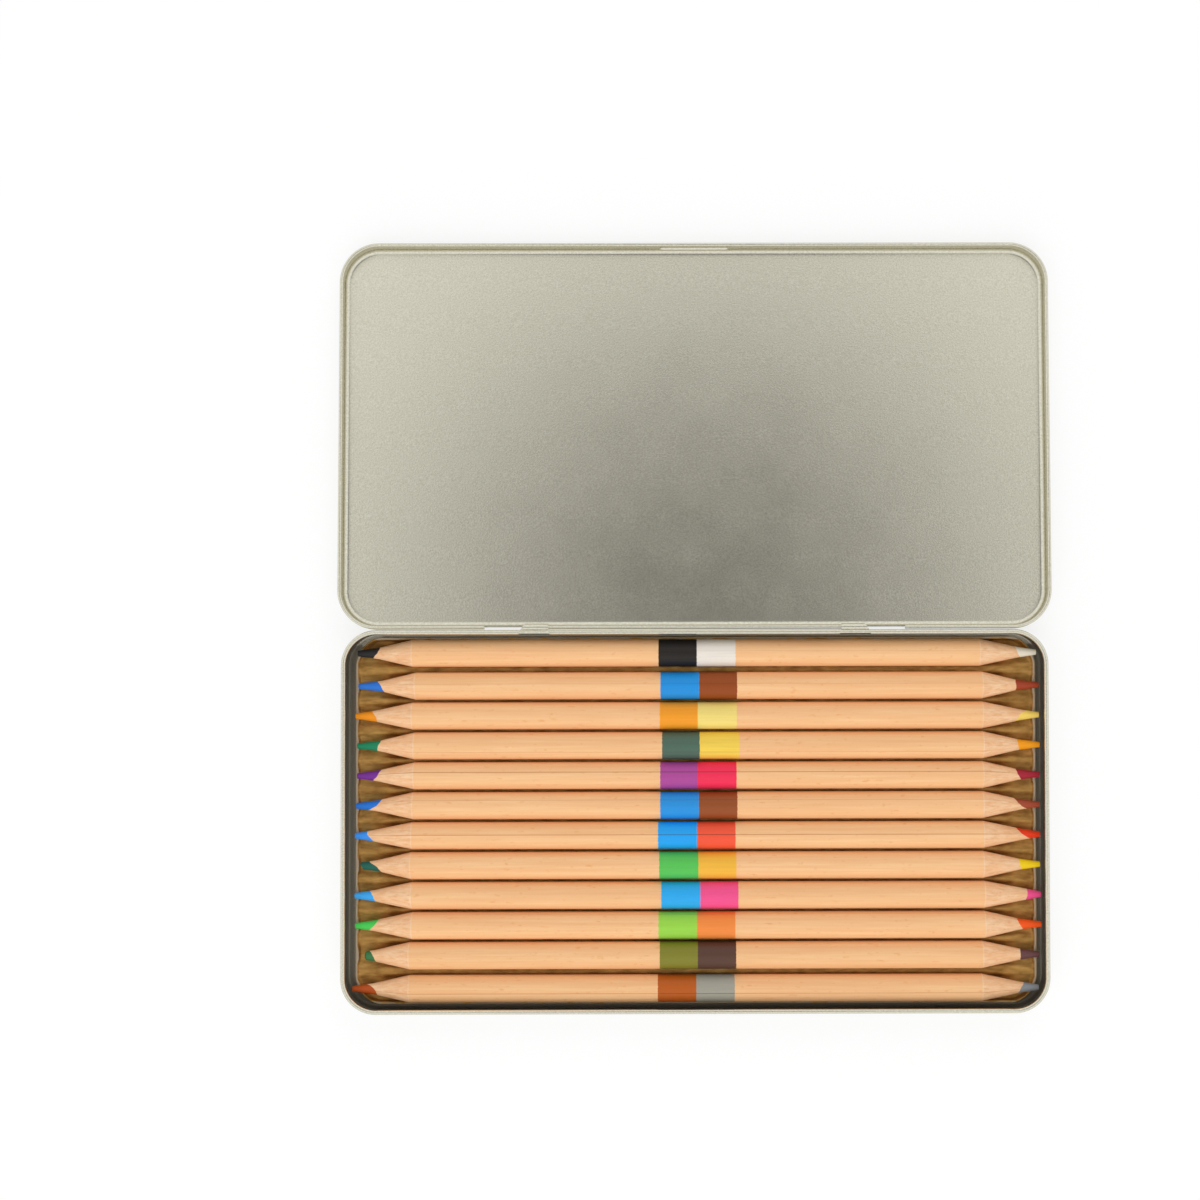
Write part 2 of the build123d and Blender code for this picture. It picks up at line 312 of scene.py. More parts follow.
# %% [markdown]
# ## Rolled walls
# A press draws the walls up and a second tool rolls their edge over. In the computer this is one
# section carried along a line, so Geometry Nodes does it: a curve for the line, a curve for the
# section, and one tree with both as named inputs. The walls break where the hinge is cut, so the
# same tree is used for each stretch, and its caps show the cut edge of the plate.

# %% The sweep tree
sweep_tree = bpy.data.node_groups.new("rolled_wall", "GeometryNodeTree")
sweep_tree.interface.new_socket("Geometry", in_out="INPUT", socket_type="NodeSocketGeometry")
SWEEP_INPUTS = {
    name: sweep_tree.interface.new_socket(name, in_out="INPUT", socket_type="NodeSocket" + kind)
    for name, kind in (("Line", "Object"), ("Section", "Object"), ("Finish", "Material"))
}
sweep_tree.interface.new_socket("Geometry", in_out="OUTPUT", socket_type="NodeSocketGeometry")
given = add(sweep_tree, "NodeGroupInput")
line = add(sweep_tree, "GeometryNodeObjectInfo", {"Object": given.outputs["Line"]})
section = add(sweep_tree, "GeometryNodeObjectInfo", {"Object": given.outputs["Section"]})
upright = add(sweep_tree, "GeometryNodeSetCurveNormal", {"Curve": line.outputs["Geometry"]},
              mode="Z_UP")
swept = add(sweep_tree, "GeometryNodeCurveToMesh", {
    "Curve": upright.outputs[0], "Profile Curve": section.outputs["Geometry"], "Fill Caps": True})
real = add(sweep_tree, "GeometryNodeRealizeInstances", {"Geometry": swept.outputs[0]})
finished = add(sweep_tree, "GeometryNodeSetMaterial", {
    "Geometry": real.outputs[0], "Material": given.outputs["Finish"]})
add(sweep_tree, "NodeGroupOutput", {"Geometry": finished.outputs[0]})


def draw_curve(name, points, closed):
    """A poly curve through points in mm."""
    data = bpy.data.curves.new(name, "CURVE")
    data.dimensions = "3D"
    spline = data.splines.new("POLY")
    spline.points.add(len(points) - 1)
    for knot, point in zip(spline.points, points):
        knot.co = (*(c * MM for c in point), 1)
    spline.use_cyclic_u = closed
    curve = bpy.data.objects.new(name, data)
    bpy.context.scene.collection.objects.link(curve)
    return curve


def sweep(name, line, section, finish):
    """Points and faces, in mm, of a section (outward, up) carried along an anticlockwise line."""
    along = draw_curve(name + "_line", [(x, y, 0) for x, y in line], False)
    across = draw_curve(name + "_section", [(out, -up, 0) for out, up in section], True)
    host = bpy.data.objects.new(name, bpy.data.meshes.new(name))
    bpy.context.scene.collection.objects.link(host)
    modifier = host.modifiers.new("sweep", "NODES")
    modifier.node_group = sweep_tree
    modifier[SWEEP_INPUTS["Line"].identifier] = along
    modifier[SWEEP_INPUTS["Section"].identifier] = across
    modifier[SWEEP_INPUTS["Finish"].identifier] = finish
    ready = host.evaluated_get(bpy.context.evaluated_depsgraph_get())
    mesh = bpy.data.meshes.new_from_object(ready)
    host.modifiers.clear()
    points = np.array([v.co for v in mesh.vertices]) / MM
    faces = [tuple(p.vertices) for p in mesh.polygons]
    for thing in (host, along, across):
        bpy.data.objects.remove(thing)
    return points, faces


# %% Lines and sections
CORNER_STEPS = 28  # steps round each corner of the tin
BORDER = 3  # mm, a ring of points inside a plate's edge, so that shading stays at the edge


def arc(middle, radius, start, turn, count):
    """Points round a middle, in mm, from one angle on through a turn in degrees."""
    angles = np.radians(start + turn * np.linspace(0, 1, count + 1))
    return [(middle[0] + radius * cos(a), middle[1] + radius * sin(a)) for a in angles]


def corners_of(length, depth, corner):
    """Each corner's middle and first angle, anticlockwise from the left rear one."""
    x, y = length / 2 - corner, depth / 2 - corner
    return (-x, y, 90), (-x, -y, 180), (x, -y, 270), (x, y, 0)


def round_walls(length, depth, corner, start, stop, front=()):
    """The line round the walls, anticlockwise, from one x on the rear wall to another."""
    line = [(start, depth / 2)]
    for cx, cy, first in corners_of(length, depth, corner):
        line += [(s, -depth / 2) for s in front if first == 270]
        line += arc((cx, cy), corner, first, 90, CORNER_STEPS)
    return line + [(stop, depth / 2)]


def plate_slab(length, depth, corner, inset, low, high):
    """A flat rounded plate, inset from the walls' line, as one slab with a border."""
    points = []
    for level, inside in ((high, inset + BORDER), (high, inset),
                          (low, inset), (low, inset + BORDER)):
        for cx, cy, first in corners_of(length, depth, corner):
            rim = arc((cx, cy), corner - inside, first, 90, CORNER_STEPS)
            points += [(x, y, level) for x, y in rim]
    count = len(points) // 4
    faces = grid_faces(4, count, closed=True)
    return points, faces + [tuple(range(count)), tuple(range(3 * count, 4 * count))]


def section_of(outer, inner):
    """A closed section (outward, up) from a wall's two faces, each drawn (inward, up)."""
    return [(-inward, up) for inward, up in outer + inner[::-1]]


# %% [markdown]
# ## The base
# A shallow drawn pan. Its foot is a small round, its wall stands 9.5 mm, and the rim rolls inwards
# so that no raw edge is felt. At the hinge the rim is notched, and a tongue of the wall itself
# rolls back over each pin of the lid.

# %% Sizes that the pieces share, in mm
SHEET = 0.3
BASE_LENGTH, BASE_DEPTH, BASE_CORNER = 180.4, 97.6006, 9.0
FOOT, FLAT, CURL, CURL_Z = 1.2, 0.6, 0.6, 8.9
LID_LENGTH, LID_DEPTH, LID_CORNER = 180.7, 97.9006, 9.15
PIN_Y, PIN_Z, CLOSED = 49.4503, 8.3, 13.0
SHOULDER, OPEN = 1.5, radians(182.1238)
WINDOW = (37.0, 53.7)
NOTCH = (37.0, 44.9)
TONGUE = (37.4, 44.5, 43.3)  # near edge, far edge at the wall and far edge at the tip
PENCIL_Z, LIP_Z = 4.3, 3.2
ROW_Y = [42.89, 34.47, 26.81, 19.15, 11.49, 3.83, -3.83, -11.49, -19.15, -26.81, -34.47, -42.89]

# %% Base walls and floor
CURL_TURN, NOTCH_TURN = -235, -140  # degrees that the rim rolls over, whole and at the notch
PRESSED = 0.08  # mm by which the roll is flatter at the notch


def rim_roll(radius, turn, steps):
    """The outer and inner face of a rim rolled inwards with its outer side on the wall's line."""
    middle = (radius, CURL_Z - CURL + radius)
    return arc(middle, radius, 180, turn, steps), arc(middle, radius - SHEET, 180, turn, steps)


foot_out = [(FOOT + FLAT, 0)] + arc((FOOT, FOOT), FOOT, 270, -90, 8)
foot_in = [(FOOT + FLAT, SHEET)] + arc((FOOT, FOOT), FOOT - SHEET, 270, -90, 8)
curl_out, curl_in = rim_roll(CURL, CURL_TURN, 22)
full = section_of(foot_out + curl_out, foot_in + curl_in)
curl_out, curl_in = rim_roll(CURL - PRESSED, NOTCH_TURN, 14)
short = section_of(foot_out + curl_out, foot_in + curl_in)
near, far = NOTCH
rear = BASE_DEPTH / 2
base_parts = [
    sweep("wall", round_walls(BASE_LENGTH, BASE_DEPTH, BASE_CORNER, -far, far), full, tinplate),
    sweep("wall_middle", [(near, rear), (-near, rear)], full, tinplate),
    sweep("notch_left", [(-near, rear), (-far, rear)], short, tinplate),
    sweep("notch_right", [(far, rear), (near, rear)], short, tinplate),
    plate_slab(BASE_LENGTH, BASE_DEPTH, BASE_CORNER, FOOT + FLAT, 0, SHEET),
]

# %% Tongues
ROLL_INNER, ROLL_OUTER, ROLL_TURN = 0.65, 0.95, 235  # mm, mm and degrees, about the lid's pin
NARROWS = 1.6  # mm past the wall over which a tongue narrows
for side in (-1, 1):
    rings = []
    for turn in np.linspace(0, ROLL_TURN, 40):
        angle = radians(180 - turn)
        corners = []
        for radius in (ROLL_INNER, ROLL_OUTER):
            y, z = PIN_Y + radius * cos(angle), PIN_Z + radius * sin(angle)
            narrowed = min(max((y - rear) / NARROWS, 0), 1)
            edge = TONGUE[1] - (TONGUE[1] - TONGUE[2]) * narrowed
            corners += [(side * TONGUE[0], y, z), (side * edge, y, z)]
        rings.append([corners[0], corners[1], corners[3], corners[2]])
    faces = grid_faces(len(rings), 4, closed=True)
    faces += [(0, 1, 2, 3), tuple(4 * len(rings) - 4 + n for n in range(4))]
    base_parts.append((np.array(rings).reshape(-1, 3), faces))
base_mesh = mesh_from("base_shell", base_parts, tinplate)

# %% Painted shade in the base's corner round its foot
PAINTED_SHADE, PAINTED_SHADE_TOP = 0.85, 8.0  # most of it at the foot's height, none at the top, in mm
HINGE_SIDE, HINGE_PAINTED_SHADE = 45, 0.45  # behind this y, in mm, less shade is painted
spots = np.array([v.co for v in base_mesh.vertices]) / MM
middles = (BASE_LENGTH / 2 - BASE_CORNER, BASE_DEPTH / 2 - BASE_CORNER)
past = np.maximum(np.abs(spots[:, :2]) - middles, 0)
inset, height = BASE_CORNER - np.hypot(*past.T), spots[:, 2]
in_foot = (inset < FOOT) & (height < FOOT)
depth = np.where(in_foot, FOOT - np.hypot(inset - FOOT, height - FOOT),
                 np.where(height < FOOT, height, inset))  # from the outer face into the plate
amount = np.interp(height, [FOOT, PAINTED_SHADE_TOP], [PAINTED_SHADE, 0.0])
amount *= np.where(spots[:, 1] > HINGE_SIDE, HINGE_PAINTED_SHADE, 1.0)
amount *= (depth > SHEET / 2) & (inset < FOOT + 1.0)
mark_points(base_mesh, "painted_shade", amount)
print(int((amount > 0).sum()), "shaded points")
place("base_shell", base_mesh, "base", "tinplate", "base_tin")

# %% [markdown]
# ## The lid
# Drawn like the base but deeper at the shoulder, with its edge rolled outwards. It is easiest to
# build shut, as the press left it, and then to turn it about the hinge to where it lies open.
# The windows in its rear wall make room for the tongues, and a bit of round wire closes each one.
# A long dent in the front wall snaps over the base's rim, so that wall is pushed in by points.

# %% Lid walls, drawn shut
BEAD = min(0.5, (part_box("lid")[1].x / MM - LID_LENGTH / 2) / 2)  # radius of the rolled edge
BEAD_TURN = -262  # degrees
INNER = SHOULDER - SHEET
WINDOW_Z = PIN_Z + 3.0  # the upper edge of each window
DENT_REACH, DENT_STEPS = 9.5, 77  # mm to each side of the middle, and points along it
round_out = arc((INNER, CLOSED - SHOULDER), SHOULDER, 90, 90, 10)
round_in = arc((INNER, CLOSED - SHOULDER), INNER, 90, 90, 10)
steps = np.linspace(CLOSED - SHOULDER, PIN_Z, 33)[1:-1]
top_out = [(INNER + FLAT, CLOSED)] + round_out
top_in = [(INNER + FLAT, CLOSED - SHEET)] + round_in
full = section_of(
    top_out + [(-SHEET, z) for z in steps] + arc((-BEAD, PIN_Z), BEAD - SHEET, 0, BEAD_TURN, 22),
    top_in + [(0, z) for z in steps] + arc((-BEAD, PIN_Z), BEAD, 0, BEAD_TURN, 22))
short = section_of(top_out + [(-SHEET, WINDOW_Z)], top_in + [(0, WINDOW_Z)])
near, far = WINDOW
rear = LID_DEPTH / 2
stops = sorted({*np.round(np.linspace(-DENT_REACH, DENT_REACH, DENT_STEPS), 3)})
lid_parts = [
    sweep("lid_wall", round_walls(LID_LENGTH, LID_DEPTH, LID_CORNER, -far, far, stops),
          full, tinplate),
    sweep("lid_middle", [(near, rear), (-near, rear)], full, tinplate),
    sweep("window_left", [(-near, rear), (-far, rear)], short, tinplate),
    sweep("window_right", [(far, rear), (near, rear)], short, tinplate),
    plate_slab(LID_LENGTH, LID_DEPTH, LID_CORNER, INNER + FLAT, CLOSED - SHEET, CLOSED),
]

# %% The dent
DENT_LENGTH, DENT_HEIGHT, DENT_DEPTH, DENT_Z = 18.2, 1.6, 0.45, 10.45
DENT_EASE = 0.4  # mm over which its edge slopes
points, faces = lid_parts[0]
front = ((points[:, 1] < -LID_DEPTH / 2 + 0.05) & (np.abs(points[:, 0]) < DENT_REACH + 0.5)
         & (points[:, 2] > PIN_Z + 0.4))
beyond = np.maximum(np.abs(points[:, 0]) - (DENT_LENGTH - DENT_HEIGHT) / 2, 0)
inside = DENT_HEIGHT / 2 - np.hypot(beyond, points[:, 2] - DENT_Z)
inside = np.clip(inside, 0, DENT_EASE) / DENT_EASE
points[:, 1] += np.where(front, DENT_DEPTH * inside * inside * (3 - 2 * inside), 0)

# %% Pins, and the lid thrown open
PIN_NEAR, PIN_FAR, PIN_RADIUS, PIN_EASE, PIN_SIDES = 37.0, 44.0, 0.5, 0.06, 28
for side in (-1, 1):
    ends = [(PIN_NEAR, 0.0), (PIN_NEAR, PIN_RADIUS - PIN_EASE), (PIN_NEAR + PIN_EASE, PIN_RADIUS),
            (PIN_FAR - PIN_EASE, PIN_RADIUS), (PIN_FAR, PIN_RADIUS - PIN_EASE), (PIN_FAR, 0.0)]
    rings = [[(side * x, PIN_Y + r * cos(a), PIN_Z + r * sin(a))
              for a in np.linspace(0, 2 * pi, PIN_SIDES + 1)[:-1]] for x, r in ends]
    faces = grid_faces(len(rings), PIN_SIDES, closed=True)
    lid_parts.append((np.array(rings).reshape(-1, 3), faces))
opened = []
for points, faces in lid_parts:
    x, dy, dz = np.asarray(points, float).T - [[0], [PIN_Y], [PIN_Z]]
    turned = [x, PIN_Y + dy * cos(OPEN) + dz * sin(OPEN), PIN_Z - dy * sin(OPEN) + dz * cos(OPEN)]
    opened.append((np.stack(turned, axis=1), faces))
place("lid_shell", mesh_from("lid_shell", opened, tinplate), "lid", "tinplate", "lid")

# %% [markdown]
# ## Gold film
# The tray is thin plastic film with a vapour-deposited gold coat, drawn hot over a ribbed mould.
# The coat gives a warm metal glow, softened and a little rippled where the film stretched, and
# thin enough that the film scatters some light of its own. The trimmed lip shows the grey-white
# plastic where the coat was cut and rubbed through.

# %% Gold film
RIPPLE, NIBBLE, NIBBLE_DEPTH = 2.2, 3.5, 0.35  # mm
LIP_FROM_X, LIP_FROM_Y, LIP_FROM_Z = (85.9, 86.1), (46.5, 46.65), (2.9, 3.1)  # mm
gold_film, tree, shader, spot = new_finish("metallised_film_gold")
ripple = add(tree, "ShaderNodeTexNoise", {
    "Vector": spot, "Scale": 1 / (RIPPLE * MM), "Detail": 3.0})
streak_place = add(tree, "ShaderNodeMapping", {
    "Vector": spot, "Scale": (1 / (4 * MM), 1 / (1.3 * MM), 1 / (1.3 * MM))})
streak = add(tree, "ShaderNodeTexNoise", {
    "Vector": streak_place.outputs[0], "Scale": 1.0, "Detail": 4.0})
drawn = add(tree, "ShaderNodeMapRange", {0: streak.outputs["Fac"], 1: 0.3, 2: 0.7})
tint = add(tree, "ShaderNodeMix", {
    0: drawn.outputs[0], 6: paint("#92682e"), 7: paint("#c99c56")}, data_type="RGBA")
axes = add(tree, "ShaderNodeSeparateXYZ", {0: spot})
# The tray sits a little to the right in the base.
away = add(tree, "ShaderNodeMath", {0: axes.outputs[0], 1: -0.25 * MM}, operation="ADD")
away = add(tree, "ShaderNodeMath", {0: away.outputs[0]}, operation="ABSOLUTE")
aside = add(tree, "ShaderNodeMath", {0: axes.outputs[1]}, operation="ABSOLUTE")
nibble = add(tree, "ShaderNodeTexNoise", {
    "Vector": spot, "Scale": 1 / (NIBBLE * MM), "Detail": 3.0})
wave = add(tree, "ShaderNodeMapRange", {
    0: nibble.outputs["Fac"], 1: 0.3, 2: 0.7, 3: -NIBBLE_DEPTH * MM, 4: NIBBLE_DEPTH * MM})
lips = []
for distance, (begin, whole) in ((away, LIP_FROM_X), (aside, LIP_FROM_Y)):
    edge = add(tree, "ShaderNodeMath", {0: distance.outputs[0], 1: wave.outputs[0]},
               operation="ADD")
    lips.append(add(tree, "ShaderNodeMapRange", {
        0: edge.outputs[0], 1: begin * MM, 2: whole * MM}).outputs[0])
lip = add(tree, "ShaderNodeMath", {0: lips[0], 1: lips[1]}, operation="MAXIMUM")
level = add(tree, "ShaderNodeMapRange", {
    0: axes.outputs[2], 1: LIP_FROM_Z[0] * MM, 2: LIP_FROM_Z[1] * MM})
lip = add(tree, "ShaderNodeMath", {0: lip.outputs[0], 1: level.outputs[0]}, operation="MULTIPLY")
coat = add(tree, "ShaderNodeMix", {
    0: lip.outputs[0], 6: tint.outputs[2], 7: paint("#b3a288")}, data_type="RGBA")
tree.links.new(coat.outputs[2], shader.inputs["Base Color"])
bare = add(tree, "ShaderNodeMapRange", {0: lip.outputs[0], 3: 0.72, 4: 0.1})
tree.links.new(bare.outputs[0], shader.inputs["Metallic"])
shader.inputs["Roughness"].default_value = 0.5
bump = add(tree, "ShaderNodeBump", {
    "Height": ripple.outputs["Fac"], "Strength": 0.35, "Distance": 0.08 * MM})
tree.links.new(bump.outputs[0], shader.inputs["Normal"])

# %% [markdown]
# ## The tray
# One skin: troughs side by side with rounded ridges between, sloping end walls, and a flat lip
# that turns down at its edge. A line across the troughs gives the rows of a grid, each row runs
# from end to end of the tray, and the skin is then given its thickness.

# %% Trough line, front to rear
FILM = 0.25
TROUGH, RIDGE, HALF_PITCH, LEAN = 3.65, 1.2, 3.83, radians(28)
FLANGE_Z = (1.0, 2.4, 2.95)  # heights of the turned-down edge, from its foot to its round
TRAY_Y = 47.17
FLANGE = [(TRAY_Y, FLANGE_Z[0]), (TRAY_Y - 0.02, FLANGE_Z[1]), (TRAY_Y - 0.12, FLANGE_Z[2]),
          (46.9, LIP_Z), (46.6, LIP_Z)]
swing = asin(HALF_PITCH / (TROUGH + RIDGE))
ridge_z = PENCIL_Z - (TROUGH + RIDGE) * cos(swing)
flank = asin((PENCIL_Z - LIP_Z) / TROUGH)
rows = [(-y, z) for y, z in FLANGE]
centres = sorted(ROW_Y)
for y in centres:
    begin = pi + flank if y == centres[0] else 1.5 * pi - swing
    finish = 2 * pi - flank if y == centres[-1] else 1.5 * pi + swing
    if y != centres[0]:
        rows += [(y - HALF_PITCH + RIDGE * sin(a), ridge_z + RIDGE * cos(a))
                 for a in np.linspace(0, swing, 9)[:-1]]
    rows += [(y + TROUGH * cos(a), PENCIL_Z + TROUGH * sin(a))
             for a in np.linspace(begin, finish, 21)]
    if y != centres[-1]:
        rows += [(y + HALF_PITCH - RIDGE * sin(a), ridge_z + RIDGE * cos(a))
                 for a in np.linspace(swing, 0, 9)[1:]]
rows += FLANGE[::-1]
print(len(rows), "rows across the tray")

# %% Tray skin
RIM_X, RIM_CORNER = 87.7, 7.8
MOUTH_X, MOUTH_Y, MOUTH_CORNER = 87.0, 46.53, 6.6
SHIFT, SCALLOP, RIB_RISE = 0.2, 0.3, 0.72  # mm to the right, mm, and a share of the ribs' depth
WAVY = range(4, 6)  # the points at the mouth, where the trimmed film is not quite straight


def rounded_reach(y, half_length, half_depth, corner):
    """How far a rounded rectangle reaches in x at this y."""
    over = max(abs(y) - (half_depth - corner), 0)
    return half_length - corner + sqrt(max(corner ** 2 - over ** 2, 0))


luck = np.random.default_rng(7)
wobble = luck.normal(0, 0.05, (len(rows), 2))
tray_points = []
for n, (y, z) in enumerate(rows):
    flange = abs(y) > 46.5
    bottom = z
    if not flange:  # the ribs run out where the pencils narrow
        z += RIB_RISE * (ridge_z + RIDGE - z) * (z < ridge_z + RIDGE)
    drop = 0 if flange else LIP_Z - z
    rim = rounded_reach(y, RIM_X, TRAY_Y, RIM_CORNER)
    nearest = min(abs(y - c) for c in centres)
    scallop = -SCALLOP * cos(pi * nearest / HALF_PITCH)  # each trough eats into the lip
    mouth = min(rounded_reach(y, MOUTH_X + scallop, MOUTH_Y, MOUTH_CORNER), rim - 0.55)
    lean = drop * tan(LEAN)
    foot = min(rounded_reach(y, MOUTH_X - lean, MOUTH_Y - lean, MOUTH_CORNER - lean), mouth)
    top = z if flange else LIP_Z
    line = [(rim, FLANGE_Z[0]), (rim - 0.05, min(top, FLANGE_Z[1])),
            (rim - 0.15, min(top, FLANGE_Z[2])), (rim - 0.4, top),
            (mouth + 0.1, top), (mouth - 0.12, top - 0.1 * drop),
            ((mouth + foot) / 2 - 0.1, top - 0.5 * drop),
            (foot - 0.1, z + 0.14 * drop), (foot - 0.35, z + 0.02 * drop), (foot - 0.9, z),
            (foot - 2.5, z), (foot - 4.5, z), (foot - 7, z),
            (foot - 9, bottom), (foot - 12, bottom), (40, bottom)]
    left, right = (
        [(SHIFT + side * (x + (wobble[n, end] if k in WAVY else 0)), y, h)
         for k, (x, h) in enumerate(line)]
        for end, side in enumerate((-1, 1)))
    tray_points.append(left + [(0, y, bottom)] + right[::-1])
columns = len(tray_points[0])
flat = np.array(tray_points).reshape(-1, 3) * MM
skin = bpy.data.meshes.new("tray_skin")
skin.from_pydata(flat.tolist(), [], grid_faces(len(rows), columns))
if skin.polygons[columns * 40].normal.z < 0:
    skin.flip_normals()
host = bpy.data.objects.new("tray_skin", skin)
bpy.context.scene.collection.objects.link(host)
thicken = host.modifiers.new("film", "SOLIDIFY")
thicken.thickness = FILM * MM
thicken.offset = -1
film = bpy.data.meshes.new_from_object(host.evaluated_get(bpy.context.evaluated_depsgraph_get()))
film.name = "tray_film"
bpy.data.objects.remove(host)
place("tray_film", tidy_mesh(film, gold_film, 50), "tray", "gold_film", "tray")

# %% [markdown]
# ## Cedar
# Each casing is two grooved slats of incense cedar glued round the leads, turned round and sanded
# but not varnished. The eye gets warm pinkish brown with fine grain along the pencil and small
# darker flecks about 2 mm long. The cut cones are paler and dry. The middle is dipped paint in the
# two colours of the leads, satin, following the grain. Each slat comes from its own board, so each
# gets its own stretch of the grain. The front ones are painted a shade paler, as painted light on
# the side that faces the front lamp.

# %% Cedar with its painted band
PAINT_CREEP, PAINT_EDGE, PAINT_SEAM = 0.08, 0.05, 0.06  # mm, how ragged and how soft its edges are


def slat_finish(name, tones, band, colours, line, seed):
    """Cedar in a light and a dark tone, painted between band's ends in two colours."""
    material, tree, shader, spot = new_finish(name)
    shift = np.random.default_rng(seed).uniform(-5, 5, 3).tolist()
    noises = []
    for length, width, settings in (
            (16, 0.55, {"Detail": 5.0, "Roughness": 0.62}),  # fine grain, mm along and across
            (45, 1.2, {"Detail": 3.0}),  # broad bands of the board
            (2.2, 0.8, {"Detail": 2.0})):  # flecks
        laid = add(tree, "ShaderNodeMapping", {
            "Vector": spot, "Location": shift,
            "Scale": (1 / (length * MM), 1 / (width * MM), 1 / (width * MM))})
        noises.append(add(tree, "ShaderNodeTexNoise", {
            "Vector": laid.outputs[0], "Scale": 1.0, **settings}).outputs["Fac"])
    grain, board, dots = noises
    fleck = add(tree, "ShaderNodeMapRange", {0: dots, 1: 0.63, 2: 0.78, 3: 0.0, 4: 0.42})
    deep = add(tree, "ShaderNodeMapRange", {0: grain, 1: 0.25, 2: 0.75, 3: 0.0, 4: 1.0})
    streak = add(tree, "ShaderNodeMapRange", {0: grain, 1: 0.52, 2: 0.72, 3: 0.0, 4: 0.34})
    shade = add(tree, "ShaderNodeMapRange", {0: board, 1: 0.36, 2: 0.66, 3: 0.0, 4: 0.5})
    # The sharpener's cut is marked 1, and 2 where its blade left the barrel and a paler line stays.
    cut = add(tree, "ShaderNodeAttribute", attribute_name="cut")
    rub = add(tree, "ShaderNodeMapRange", {0: cut.outputs["Fac"], 1: 1.1, 2: 2.0, 3: 0.0, 4: 0.3})
    glue = add(tree, "ShaderNodeAttribute", attribute_name="glue")
    seam = add(tree, "ShaderNodeMath", {0: glue.outputs["Fac"], 1: line}, operation="MULTIPLY")
    barrel = add(tree, "ShaderNodeMix", {
        0: deep.outputs[0], 6: paint(tones[0]), 7: paint(tones[1])}, data_type="RGBA")
    cone = add(tree, "ShaderNodeMix", {
        0: deep.outputs[0], 6: paint("#ffdab2"), 7: paint("#e9b483")}, data_type="RGBA")
    cone = add(tree, "ShaderNodeMix", {
        0: streak.outputs[0], 6: cone.outputs[2], 7: paint("#d69f6c")}, data_type="RGBA")
    wood = add(tree, "ShaderNodeMix", {
        0: cut.outputs["Fac"], 6: barrel.outputs[2], 7: cone.outputs[2]}, data_type="RGBA")
    for amount, code in ((shade, "#f0b17c"), (fleck, "#e08d48"), (rub, "#ffe2c0"),
                         (seam, "#b5713f")):
        wood = add(tree, "ShaderNodeMix", {
            0: amount.outputs[0], 6: wood.outputs[2], 7: paint(code)}, data_type="RGBA")
    # The paint's edge creeps along the grain by about a tenth of a millimetre.
    creep = add(tree, "ShaderNodeMapRange", {
        0: grain, 1: 0.3, 2: 0.7, 3: -PAINT_CREEP * MM, 4: PAINT_CREEP * MM})
    axes = add(tree, "ShaderNodeSeparateXYZ", {0: spot})
    at = add(tree, "ShaderNodeMath", {0: axes.outputs[0], 1: creep.outputs[0]}, operation="ADD")
    start, middle, end = (x * MM for x in band)
    begun, ended, half = (
        add(tree, "ShaderNodeMapRange", {
            0: at.outputs[0], 1: where - soft * MM, 2: where + soft * MM, 3: before, 4: 1 - before})
        for where, soft, before in (
            (start, PAINT_EDGE, 0.0), (end, PAINT_EDGE, 1.0), (middle, PAINT_SEAM, 0.0)))
    painted = add(tree, "ShaderNodeMath", {0: begun.outputs[0], 1: ended.outputs[0]},
                  operation="MULTIPLY")
    dip = add(tree, "ShaderNodeMix", {
        0: half.outputs[0], 6: paint(colours[0]), 7: paint(colours[1])}, data_type="RGBA")
    faint = add(tree, "ShaderNodeMapRange", {0: grain, 1: 0.2, 2: 0.8, 3: 0.0, 4: 0.16})
    for amount, code in ((faint, "#5a4636"), (seam, "#4a3a2e")):
        dip = add(tree, "ShaderNodeMix", {
            0: amount.outputs[0], 6: dip.outputs[2], 7: paint(code)}, data_type="RGBA")
    skin = add(tree, "ShaderNodeMix", {
        0: painted.outputs[0], 6: wood.outputs[2], 7: dip.outputs[2]}, data_type="RGBA")
    tree.links.new(skin.outputs[2], shader.inputs["Base Color"])
    shader.inputs["Specular IOR Level"].default_value = 0.25
    rough = add(tree, "ShaderNodeMapRange", {0: painted.outputs[0], 3: 0.58, 4: 0.42})
    tree.links.new(rough.outputs[0], shader.inputs["Roughness"])
    bump = add(tree, "ShaderNodeBump", {"Height": grain, "Strength": 0.2, "Distance": 0.03 * MM})
    tree.links.new(bump.outputs[0], shader.inputs["Normal"])
    return material


# %% [markdown]
# ## Leads
# Pigment, wax and clay pressed into a rod, then cut by the sharpener: dense, dull and slightly
# greasy, so a mid roughness with fine cutting lines and small darker marks.

# %% Lead finish
MARK_LENGTH, MARK_WIDTH, MARK_SHADE = 2.5, 0.3, 0.62  # mm, mm, and how much light a mark keeps


def lead_finish(name, colour):
    """Wax-bound pigment of one colour."""
    material, tree, shader, spot = new_finish(name)
    lines = add(tree, "ShaderNodeMapping", {"Vector": spot, "Scale": (
        1 / (MARK_LENGTH * MM), 1 / (MARK_WIDTH * MM), 1 / (MARK_WIDTH * MM))})
    marks = add(tree, "ShaderNodeTexNoise", {
        "Vector": lines.outputs[0], "Scale": 1.0, "Detail": 4.0})
    amount = add(tree, "ShaderNodeMapRange", {
        0: marks.outputs["Fac"], 1: 0.35, 2: 0.8, 3: 0.0, 4: 0.3})
    plain = paint(colour)
    darker = (*[c * MARK_SHADE for c in plain[:3]], 1)
    skin = add(tree, "ShaderNodeMix", {0: amount.outputs[0], 6: plain, 7: darker},
               data_type="RGBA")
    tree.links.new(skin.outputs[2], shader.inputs["Base Color"])
    shader.inputs["Roughness"].default_value = 0.5
    shader.inputs["Specular IOR Level"].default_value = 0.3
    bump = add(tree, "ShaderNodeBump", {
        "Height": marks.outputs["Fac"], "Strength": 0.4, "Distance": 0.05 * MM})
    tree.links.new(bump.outputs[0], shader.inputs["Normal"])
    return material


